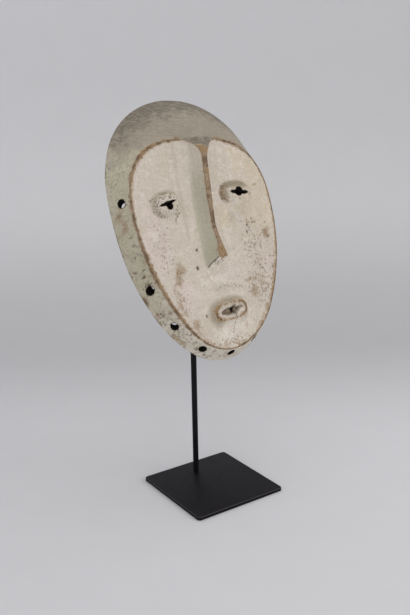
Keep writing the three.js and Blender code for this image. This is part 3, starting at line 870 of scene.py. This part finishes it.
def clay_on_wood(settings):
    """Kaolin clay rubbed dry over carved light wood.

    The eye sees a chalky, matte skin, cream and faintly pink on the face and grey-green on the
    sides, thin enough to show darker smears, with bare brown wood along every worn edge. Shade is
    painted round the eyes and the mouth, beside the nose, in the slot, cuts and holes, at the top of
    the band and along the rim, and light under the nose.
    """
    material, tree, output = new_finish("kaolin_clay_on_carved_wood")
    place = add_node(tree, "TexCoord").outputs["Object"]
    marks = []
    for name in ("coat", "age_and_shade", "tone", "touch_and_shade", "shading"):
        attribute = add_node(tree, "Attribute", attribute_name=name)
        marks += list(add_node(tree, "SeparateColor", {0: attribute.outputs["Color"]}).outputs)
    (face, forehead, inside, wear, dark, pitted, brown, rosy, green,
     crown, ochre, rim_shade_line, warm, shade, low) = marks

    cloud = pattern(tree, place, 26, 4)
    blotch = pattern(tree, place, 8, 4, 0.65, distortion=0.6)
    speck = pattern(tree, place, 2.6, 3, 0.6, distortion=0.4)
    dust = pattern(tree, place, 1.1, 2, 0.7)
    strokes = pattern(tree, place, 3.2, 3, 0.6, stretch=(3.5, 0.8, 0.35))
    combs = pattern(tree, place, 2.4, 3, 0.6, stretch=(0.5, 4, 0.6))
    streaks = pattern(tree, place, 3.0, 3, 0.6, stretch=(0.35, 1, 4))
    flecks = pattern(tree, place, 1.7, 3, 0.65, distortion=0.8)

    colour = add_node(tree, "RGB").outputs[0]
    colour.default_value = linear(settings["band"])
    # Each layer: colour, mask, weight of the mask, pattern that breaks it up, where the sum
    # of both starts and ends to show, and the most that it shows
    layers = (
        ("band_dark", None, 0, blotch, 0.45, 0.7, 0.5),
        ("band_pale", None, 0, cloud, 0.48, 0.7, 0.55),
        ("band_line", None, 0, combs, 0.62, 0.85, 0.6),
        ("band_light", None, 0, speck, 0.66, 0.85, 0.5),
        ("forehead", forehead, 1.0, cloud, 0.6, 1.2, 0.95),
        # Darker clay and painted shade at the top and back of the band
        ("crown", crown, 1.0, blotch, 0.6, 1.3, 0.85),
        ("forehead_dark", forehead, 0.5, speck, 0.98, 1.25, 0.35),
        ("forehead_pale", forehead, 0.5, strokes, 1.02, 1.2, 0.35),
        ("face", face, 1.0, None, 0.35, 0.65, 1.0),
        ("face_warm", warm, 0.6, cloud, 0.7, 1.1, 0.7),
        # Paler low down, and painted light under the nose
        ("low", low, 1.0, blotch, 0.7, 1.4, 0.8),
        ("face_pale", face, 0.5, blotch, 1.0, 1.2, 0.45),
        ("face_grey", face, 0.5, cloud, 1.02, 1.25, 0.5),
        ("rosy", rosy, 0.8, blotch, 0.75, 1.2, 0.75),
        ("flank", green, 1.0, None, 0.1, 0.95, 0.95),
        ("shade", shade, 1.0, None, 0.0, 1.0, 0.85),
        ("shade_dark", shade, 0.5, combs, 0.85, 1.15, 0.5),
        # Brown smears, in the same brown as some of the painted shade round the eyes and the mouth
        ("smear_and_shade", brown, 0.8, blotch, 0.75, 1.1, 0.8),
        ("smear_and_shade_dark", brown, 0.6, speck, 0.98, 1.2, 0.75),
        ("speckle", pitted, 0.27, speck, 0.82, 0.94, 0.75),
        ("smear_and_shade", pitted, 0.26, blotch, 0.88, 1.0, 0.5),
        ("face_pale", pitted, 0.24, cloud, 0.86, 1.0, 0.6),
        ("flake", pitted, 0.33, flecks, 1.02, 1.12, 0.85),
        # Painted shade along the back rim
        ("painted_rim_shade", rim_shade_line, 0.9, speck, 0.8, 1.15, 0.85),
        ("halo", wear, 1.0, blotch, 0.6, 1.0, 0.75),
        ("wood", wear, 1.0, speck, 0.85, 1.12, 0.95),
        ("ochre", ochre, 1.0, speck, 0.85, 1.2, 0.8),
        ("wood_dark", wear, 1.0, blotch, 1.28, 1.5, 0.85),
        ("hollow", inside, 1.0, None, 0.3, 0.7, 1.0),
        ("hollow_dark", inside, 0.8, streaks, 1.1, 1.6, 0.5),
        # Dark marks, and painted shade in the slot, the eye cuts and the rim holes
        ("grit", dark, 1.0, dust, 0.72, 1.0, 0.88),
        ("hole_shade_and_pit_black", dark, 1.0, None, 0.6, 0.85, 1.0),
    )
    for name, mask, weight, breakup, start, end, strength in layers:
        both = mask is not None and breakup is not None
        amount = breakup if mask is None else mask
        if both:
            summed = {0: mask, 1: weight, 2: breakup}
            amount = add_node(tree, "Math", summed, operation="MULTIPLY_ADD").outputs[0]
        reach = {"Value": amount, "From Min": start, "From Max": end, "To Max": strength}
        shown = add_node(tree, "MapRange", reach, interpolation_type="SMOOTHSTEP").outputs["Result"]
        if both:
            fade = add_node(tree, "MapRange", {"Value": mask, "From Min": 0.02, "From Max": 0.15})
            faded = {0: shown, 1: fade.outputs["Result"]}
            shown = add_node(tree, "Math", faded, operation="MULTIPLY").outputs[0]
        laid = {0: shown, 6: colour, 7: linear(settings[name])}
        colour = add_node(tree, "Mix", laid, data_type="RGBA", clamp_factor=True).outputs[2]
    # A slight unevenness of tone all over
    for source, spread in ((speck, 0.05), (dust, 0.05), (strokes, 0.02)):
        tone = add_node(tree, "MapRange", {
            "Value": source, "From Min": 0.3, "From Max": 0.7, "To Min": 1 - spread, "To Max": 1 + spread,
        }).outputs["Result"]
        toned = {0: 1.0, 6: colour, 7: tone}
        colour = add_node(tree, "Mix", toned, data_type="RGBA", blend_type="MULTIPLY").outputs[2]

    height = add_node(tree, "Math", {0: speck, 1: 0.35}, operation="MULTIPLY").outputs[0]
    heights = ((dust, 0.2), (strokes, 0.25), (streaks, 0.12), (flecks, -0.15), (wear, -0.25), (dark, -0.5))
    for source, amount in heights:
        raised = {0: source, 1: amount, 2: height}
        height = add_node(tree, "Math", raised, operation="MULTIPLY_ADD").outputs[0]
    bump = add_node(tree, "Bump", {"Strength": 0.4, "Distance": 0.4 * MM, "Height": height})
    rough = add_node(tree, "MapRange", {"Value": wear, "To Min": 0.92, "To Max": 0.66}).outputs["Result"]
    shader = add_node(tree, "BsdfPrincipled", {
        "IOR": 1.5, "Specular IOR Level": 0.2, "Base Color": colour, "Roughness": rough,
        "Normal": bump.outputs["Normal"],
    })
    tree.links.new(shader.outputs[0], output.inputs["Surface"])
    return material


# Colours of the clay, the wood and the marks; some of them also paint shade, and the palest one light under
# the nose
CLAY_COLOURS = {
    "band": "bab39f", "band_dark": "a49c88", "band_pale": "c2bcab", "band_line": "938b75",
    "band_light": "cdc7b6", "forehead": "9a9183", "forehead_dark": "7f7769", "forehead_pale": "a8a094",
    "crown": "736b5f",
    "low": "e0d7cb", "face": "c7bdb0", "face_warm": "c9baa3", "face_pale": "d8cfc3", "face_grey": "c0b6a6",
    "rosy": "d0c2bb", "flank": "afaa98", "shade": "877e69", "shade_dark": "827963",
    "smear_and_shade": "a8957e", "smear_and_shade_dark": "7f6a53", "speckle": "94867a", "painted_rim_shade": "74684f",
    "halo": "b19f8a", "wood": "8e7860", "wood_dark": "675543", "ochre": "957b57",
    "hollow": "7d5f40", "hollow_dark": "60462d", "grit": "6a5c4d", "hole_shade_and_pit_black": "0f0b08", "flake": "7c6e5d",
}
# Colour of the painted highlight on the stand's edges that face half up
BEVEL_HIGHLIGHT_PAINT = "403d40"
FLOOR_PAPER = "d9d9dc"


def black_paint(name, colour, sheen_colour, grit_mm, rough_low, rough_high):
    """Satin black paint on steel.

    The eye sees a deep soft black with a broad dull highlight, very fine orange-peel grit, a few
    paler places, and a painted highlight along edges that face half up.
    """
    material, tree, output = new_finish(name)
    coordinates = add_node(tree, "TexCoord").outputs
    place = coordinates["Object"]
    cloud = pattern(tree, place, 18, 4, 0.6)
    rub = pattern(tree, place, 5, 4, 0.65)
    grit = pattern(tree, place, grit_mm, 2, 0.5)
    mixed = add_node(tree, "MapRange", {"Value": cloud, "From Min": 0.4, "From Max": 0.75})
    paints = {0: mixed.outputs["Result"], 6: linear(colour), 7: linear(sheen_colour)}
    base = add_node(tree, "Mix", paints, data_type="RGBA").outputs[2]
    # Painted highlight: a lighter line where the surface faces half up, on the rounded edges
    upward = add_node(tree, "SeparateXYZ", {0: coordinates["Normal"]}).outputs[2]
    rubbed = add_node(tree, "Math", {0: upward, 1: 0.62, 2: 0.3}, operation="COMPARE").outputs[0]
    base = add_node(tree, "Mix", {0: rubbed, 6: base, 7: linear(BEVEL_HIGHLIGHT_PAINT)}, data_type="RGBA").outputs[2]
    rough = add_node(tree, "MapRange", {
        "Value": rub, "From Min": 0.35, "From Max": 0.7, "To Min": rough_low, "To Max": rough_high,
    }).outputs["Result"]
    bump = add_node(tree, "Bump", {"Strength": 0.25, "Distance": 0.05 * MM, "Height": grit})
    shader = add_node(tree, "BsdfPrincipled", {
        "Metallic": 0.0, "IOR": 1.5, "Specular IOR Level": 0.13, "Base Color": base, "Roughness": rough,
        "Normal": bump.outputs["Normal"],
    })
    tree.links.new(shader.outputs[0], output.inputs["Surface"])
    return material


def studio_paper(floor_colour):
    """Matte pale background paper without gloss, with a little painted shade where it bends up and painted
    light up the wall and to the left.
    """
    material, tree, output = new_finish("pale_studio_paper")
    place = add_node(tree, "TexCoord").outputs["Object"]
    fibre = pattern(tree, place, 40, 3)
    turn = (0, 0, -math.radians(CAMERA_AZIMUTH))
    turned = add_node(tree, "Mapping", {"Rotation": turn, "Vector": place}).outputs[0]
    x, y, z = add_node(tree, "SeparateXYZ", {0: turned}).outputs
    run = add_node(tree, "Math", {0: y, 1: z}, operation="ADD").outputs[0]
    side = add_node(tree, "Math", {0: x, 1: run}, operation="MULTIPLY").outputs[0]
    tone = add_node(tree, "MapRange", {"Value": fibre, "To Min": 0.99, "To Max": 1.01}).outputs["Result"]
    # Each fade of painted light and shade: what it follows, where it starts and ends, its tone at both, and
    # how it runs
    painted_light_fades = (
        (side, -0.7, 0.7, 1.08, 0.89, "LINEAR"),
        (run, 0.1, 0.5, 1.0, 0.78, "SMOOTHSTEP"),
        (run, 0.62, 1.0, 1.0, 1.2, "SMOOTHSTEP"),
    )
    for source, near, far, start, end, course in painted_light_fades:
        fade = add_node(tree, "MapRange", {
            "Value": source, "From Min": near, "From Max": far, "To Min": start, "To Max": end,
        }, interpolation_type=course).outputs["Result"]
        tone = add_node(tree, "Math", {0: tone, 1: fade}, operation="MULTIPLY").outputs[0]
    tinted = {0: 1.0, 6: floor_colour, 7: tone}
    colour = add_node(tree, "Mix", tinted, data_type="RGBA", blend_type="MULTIPLY").outputs[2]
    shader = add_node(tree, "BsdfPrincipled", {
        "Roughness": 0.9, "Specular IOR Level": 0.2, "Base Color": colour,
    })
    tree.links.new(shader.outputs[0], output.inputs["Surface"])
    return material


# Stand, in millimetres

PAD_ABOVE_CHIN, PAD_LEAN, PAD_GAP = 12.0, 5.9, 0.2
PAD_DIAMETER, PAD_THICKNESS, ARM_DIAMETER = 10.0, 3.0, 5.0
ROD_TOP_ROUND, PAD_ROUND, PLATE_EDGE_ROUND = 0.7, 0.5, 0.9


def end_edges(mesh, known=()):
    """The edges of flat ends with many sides, but for those known before."""
    return [e for e in mesh.edges if e not in known and any(len(f.verts) > 4 for f in e.link_faces)]


def soften(mesh, edges, offset, segments):
    """Rounds the given edges."""
    bmesh.ops.bevel(
        mesh, geom=edges, offset=offset, segments=segments, profile=0.5, affect="EDGES", material=-1)


def build_rod(settings):
    """The upright rod with its rounded top, and the short arm with its pad behind the chin."""
    low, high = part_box("stand_rod")
    radius = settings.rod_diameter / 2
    set_back = high.y - radius
    mesh = bmesh.new()
    bmesh.ops.create_cone(
        mesh, cap_ends=True, segments=64, radius1=radius, radius2=radius, depth=high.z - low.z,
        matrix=Matrix.Translation((0, set_back, (high.z + low.z) / 2)),
    )
    soften(mesh, end_edges(mesh), ROD_TOP_ROUND * MM, 4)
    pose = mask_pose()
    lean = math.radians(PAD_LEAN)
    depth = float(face_depth(np.array([0.0]), np.array([PAD_ABOVE_CHIN]))[0]) - WALL - PAD_GAP
    front = Vector((0, -depth, PAD_ABOVE_CHIN)) * MM
    back = front + Vector((0, PAD_THICKNESS * math.cos(lean), PAD_THICKNESS * math.sin(lean))) * MM
    front, back = pose @ front, pose @ back
    known = set(mesh.edges)
    add_bar(mesh, front, back, PAD_DIAMETER, 48)
    soften(mesh, end_edges(mesh, known), PAD_ROUND * MM, 3)
    add_bar(mesh, (front + back) / 2, Vector((0, set_back, back.z)), ARM_DIAMETER, 48)
    return object_from("rod_and_arm", mesh)


def build_plate(settings):
    """The square plate with small rounded corners and softened edges."""
    low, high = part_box("stand_plate")
    mesh = bmesh.new()
    size = high - low
    place = Matrix.Translation((low + high) / 2) @ Matrix.Diagonal((*size, 1))
    bmesh.ops.create_cube(mesh, size=1, matrix=place)
    upright = [e for e in mesh.edges if abs(e.verts[0].co.z - e.verts[1].co.z) > size.z / 2]
    soften(mesh, upright, settings.corner_radius, 10)
    soften(mesh, end_edges(mesh), PLATE_EDGE_ROUND * MM, 4)
    return object_from("base_plate", mesh)


def settle(piece, node, material):
    """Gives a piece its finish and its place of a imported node."""
    piece.data.materials.clear()
    piece.data.materials.append(material)
    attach(piece, "root")
    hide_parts(node)


class MaskSettings(bpy.types.PropertyGroup):
    """Sizes and colours of the mask."""

    hole_diameter: bpy.props.FloatProperty(
        name="Rim hole", description="Diameter of the holes bored in the rim, in millimetres",
        default=7.4, min=2, max=12)
    band_colour: bpy.props.StringProperty(
        name="Side clay", description="Colour of the clay on the sides, as hex", default=CLAY_COLOURS["band"])
    face_colour: bpy.props.StringProperty(
        name="Face clay", description="Colour of the clay on the face, as hex", default=CLAY_COLOURS["face"])
    wood_colour: bpy.props.StringProperty(
        name="Worn wood", description="Colour of the wood on worn edges, as hex",
        default=CLAY_COLOURS["wood"])


class StandSettings(bpy.types.PropertyGroup):
    """Sizes of the stand."""

    rod_diameter: bpy.props.FloatProperty(
        name="Rod", description="Diameter of the upright rod", default=0.006,
        unit="LENGTH", subtype="DISTANCE")
    corner_radius: bpy.props.FloatProperty(
        name="Plate corner", description="Radius of the plate's corners", default=0.0035,
        unit="LENGTH", subtype="DISTANCE")


class StageSettings(bpy.types.PropertyGroup):
    """Floor and light."""

    floor_colour: bpy.props.FloatVectorProperty(
        name="Floor", description="Colour of the floor paper", default=linear(FLOOR_PAPER),
        size=4, subtype="COLOR")
    key_power: bpy.props.FloatProperty(
        name="Key light", description="Power of the main soft light, in watts", default=7.0, min=0)


class FACEMASK_OT_carve(bpy.types.Operator):
    """Build the carved mask and its clay finish"""

    bl_idname = "facemask.carve"
    bl_label = "Carve the mask"

    def execute(self, context):
        settings = context.scene.mask_settings
        mask = build_mask(settings.hole_diameter)
        mark_surface(mask, settings.hole_diameter)
        chosen = dict(band=settings.band_colour, face=settings.face_colour, wood=settings.wood_colour)
        settle(mask, "mask", clay_on_wood({**CLAY_COLOURS, **chosen}))
        return {"FINISHED"}


# Black paints: base colour, sheen colour, grit in millimetres, lowest and highest roughness
ROD_PAINT = ("0e0d10", "131215", 0.5, 0.46, 0.54)
PLATE_PAINT = ("110e11", "141115", 0.4, 0.46, 0.5)


class FACEMASK_OT_stand(bpy.types.Operator):
    """Build the rod and the base plate with their black paint"""

    bl_idname = "facemask.stand"
    bl_label = "Make the stand"

    def execute(self, context):
        settings = context.scene.stand_settings
        rod, plate = build_rod(settings), build_plate(settings)
        for piece in (rod, plate):
            piece.data.shade_smooth()
            piece.data.set_sharp_from_angle(angle=math.radians(STAND_SHARP_FROM))
        settle(rod, "stand_rod", black_paint("satin_black_paint_on_bar", *ROD_PAINT))
        settle(plate, "stand_plate", black_paint("satin_black_powder_coat", *PLATE_PAINT))
        return {"FINISHED"}


# Stage, in metres and degrees

CAMERA_PLACE = (-0.43710, -0.63878, 0.41440)
CAMERA_AZIMUTH = -34.05
CAMERA_PITCH = 15.774
CAMERA_ROLL = -1.030
CAMERA_LENS = 47.395
FILM_HEIGHT = 36
PAPER_HALF, BEND_START, BEND_RADIUS = 3.0, 0.45, 0.4
SKY_COLOUR, SKY_STRENGTH = (0.88, 0.88, 0.89, 1), 0.66
# Soft lights: name, place, point they face, size, share of the key's power, colour
LIGHTS = (
    ("key", (0.95, -1.15, 0.75), (0, 0, 0.24), 0.9, 1.0, (1.0, 0.985, 0.96)),
    ("fill", (-1.3, -1.1, 0.6), (0, 0, 0.24), 1.2, 0.7, (1.0, 0.995, 0.98)),
    ("top", (0.1, 0.1, 1.9), (0, 0.1, 0), 1.6, 0.9, (1, 1, 1)),
)


def set_camera():
    azimuth, pitch, roll = (math.radians(x) for x in (CAMERA_AZIMUTH, CAMERA_PITCH, CAMERA_ROLL))
    level = math.cos(pitch)
    back = Vector((math.sin(azimuth) * level, -math.cos(azimuth) * level, math.sin(pitch)))
    right = Vector((math.cos(azimuth), math.sin(azimuth), 0))
    up = back.cross(right)
    turned_right = right * math.cos(roll) + up * math.sin(roll)
    turned_up = up * math.cos(roll) - right * math.sin(roll)
    data = bpy.data.cameras.new("camera")
    data.sensor_fit = "VERTICAL"
    data.sensor_height = FILM_HEIGHT
    data.lens = CAMERA_LENS
    data.clip_start, data.clip_end = 0.01, 20
    camera = bpy.data.objects.new("camera", data)
    turn = Matrix((turned_right, turned_up, back)).transposed().to_4x4()
    camera.matrix_world = Matrix.Translation(CAMERA_PLACE) @ turn
    bpy.context.scene.collection.objects.link(camera)
    bpy.context.scene.camera = camera


def add_soft_light(name, place, target, size, power, colour):
    data = bpy.data.lights.new(name, "AREA")
    data.shape, data.size = "SQUARE", size
    data.energy, data.color = power, colour
    light = bpy.data.objects.new(name, data)
    way = Vector(target) - Vector(place)
    light.matrix_world = Matrix.Translation(place) @ way.to_track_quat("-Z", "Y").to_matrix().to_4x4()
    bpy.context.scene.collection.objects.link(light)


def paper_sweep():
    """Paper that lies flat round the object and curves up behind it."""
    mesh = bmesh.new()
    bmesh.ops.create_grid(mesh, x_segments=8, y_segments=60, size=PAPER_HALF)
    turn = Matrix.Rotation(math.radians(CAMERA_AZIMUTH), 4, "Z")
    for vert in mesh.verts:
        run = vert.co.y - BEND_START
        if run > 0:
            angle = min(run / BEND_RADIUS, math.pi / 2)
            rest = max(0.0, run - BEND_RADIUS * math.pi / 2)
            vert.co.y = BEND_START + BEND_RADIUS * math.sin(angle)
            vert.co.z = BEND_RADIUS * (1 - math.cos(angle)) + rest
        vert.co = turn @ vert.co
    return object_from("paper_sweep", mesh)


class FACEMASK_OT_stage(bpy.types.Operator):
    """Set the paper sweep, the lights and the camera"""

    bl_idname = "facemask.stage"
    bl_label = "Set the stage"

    def execute(self, context):
        settings = context.scene.stage_settings
        sweep = paper_sweep()
        sweep.data.shade_smooth()
        sweep.data.materials.append(studio_paper(settings.floor_colour))
        for name, place, target, size, share, colour in LIGHTS:
            add_soft_light(name, place, target, size, settings.key_power * share, colour)
        world = bpy.data.worlds.new("studio")
        world.use_nodes = True
        sky = world.node_tree.nodes["Background"].inputs
        sky["Color"].default_value, sky["Strength"].default_value = SKY_COLOUR, SKY_STRENGTH
        context.scene.world = world
        context.scene.view_settings.view_transform = "Standard"
        set_camera()
        return {"FINISHED"}


class FACEMASK_PT_panel(bpy.types.Panel):
    """Panel that lists the mask's sizes and steps"""

    bl_idname = "FACEMASK_PT_panel"
    bl_label = "Carved Mask"
    bl_space_type = "VIEW_3D"
    bl_region_type = "UI"
    bl_category = "Mask"

    def draw(self, context):
        for group in GROUPS:
            box = self.layout.box()
            settings = getattr(context.scene, group)
            for name in settings.__annotations__:
                box.prop(settings, name)
        for operator in OPERATORS:
            self.layout.operator(operator.bl_idname)


GROUPS = {"mask_settings": MaskSettings, "stand_settings": StandSettings, "stage_settings": StageSettings}
OPERATORS = (FACEMASK_OT_carve, FACEMASK_OT_stand, FACEMASK_OT_stage)
CLASSES = (*GROUPS.values(), *OPERATORS, FACEMASK_PT_panel)


def register():
    for cls in CLASSES:
        bpy.utils.register_class(cls)
    for name, group in GROUPS.items():
        setattr(bpy.types.Scene, name, bpy.props.PointerProperty(type=group))


def unregister():
    for name in GROUPS:
        delattr(bpy.types.Scene, name)
    for cls in reversed(CLASSES):
        bpy.utils.unregister_class(cls)


def main():
    register()
    bpy.ops.facemask.stage()
    bpy.ops.facemask.stand()
    bpy.ops.facemask.carve()


if __name__ == "__main__":
    main()
